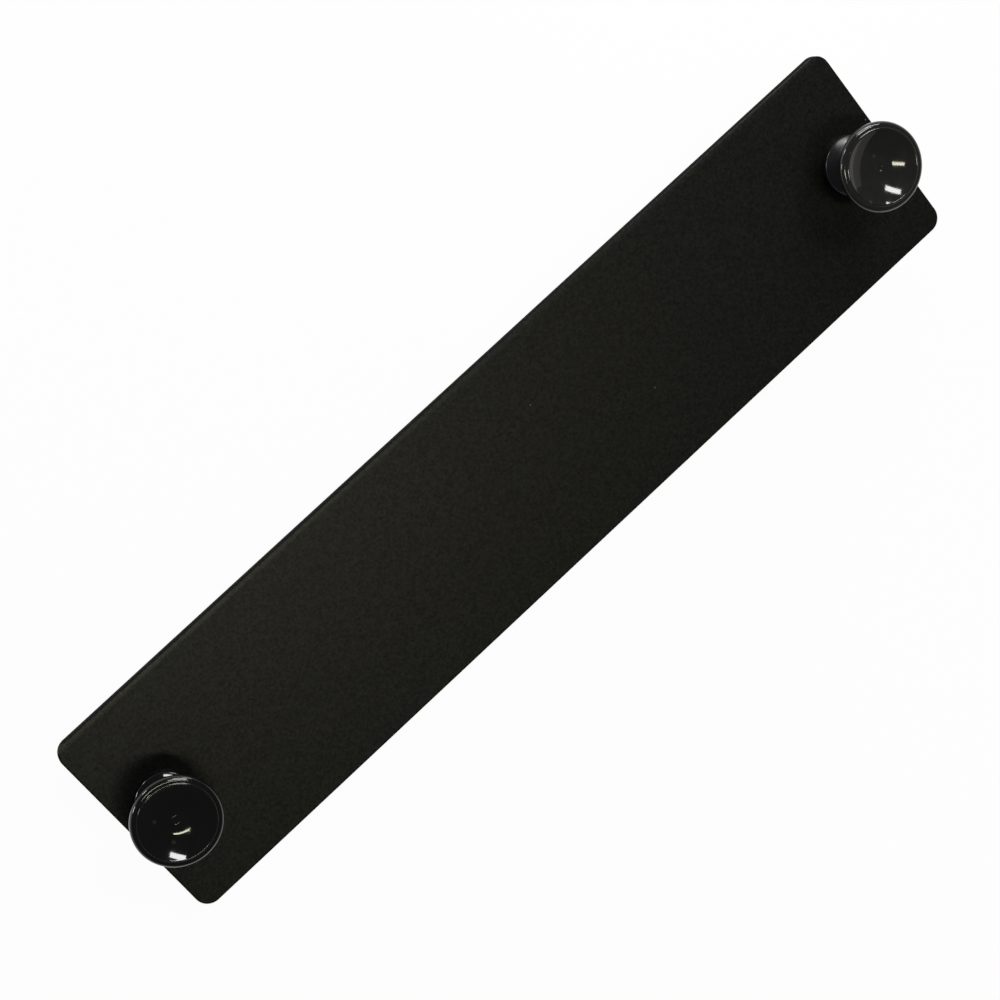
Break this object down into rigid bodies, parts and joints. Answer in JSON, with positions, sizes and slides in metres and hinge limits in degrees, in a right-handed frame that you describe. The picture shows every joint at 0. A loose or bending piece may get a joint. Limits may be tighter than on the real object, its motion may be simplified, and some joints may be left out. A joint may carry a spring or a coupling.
{
  "type": "fiber blank adapter panel",
  "caption": "Flat black coated steel blank that closes an unused fibre adapter opening, held near its ends by push-in plunger latches with dished heads on split snap grommets.",
  "frame": {"origin": "middle of the plate's rear face, which lies against the housing's bracket", "axes": "+X along the plate, +Y across it, +Z out of its front towards the plunger heads"},
  "size_m": [0.13, 0.0286, 0.0164],
  "materials": {
    "powder_coat": "satin black powder coat",
    "black_nylon": "glossy moulded black"
  },
  "bodies": {
    "panel": {"blank_plate": "powder_coat", "left_grommet": "black_nylon", "right_grommet": "black_nylon"},
    "left_latch_plunger": {"left_plunger": "black_nylon"},
    "right_latch_plunger": {"right_plunger": "black_nylon"}
  },
  "joints": [
    {"name": "left_plunger_slide", "type": "slide", "parent": "panel", "child": "left_latch_plunger", "axis": [0, 0, 1], "range_m": [-0.0036, 0]},
    {"name": "right_plunger_slide", "type": "slide", "parent": "panel", "child": "right_latch_plunger", "axis": [0, 0, 1], "range_m": [-0.0036, 0]}
  ]
}
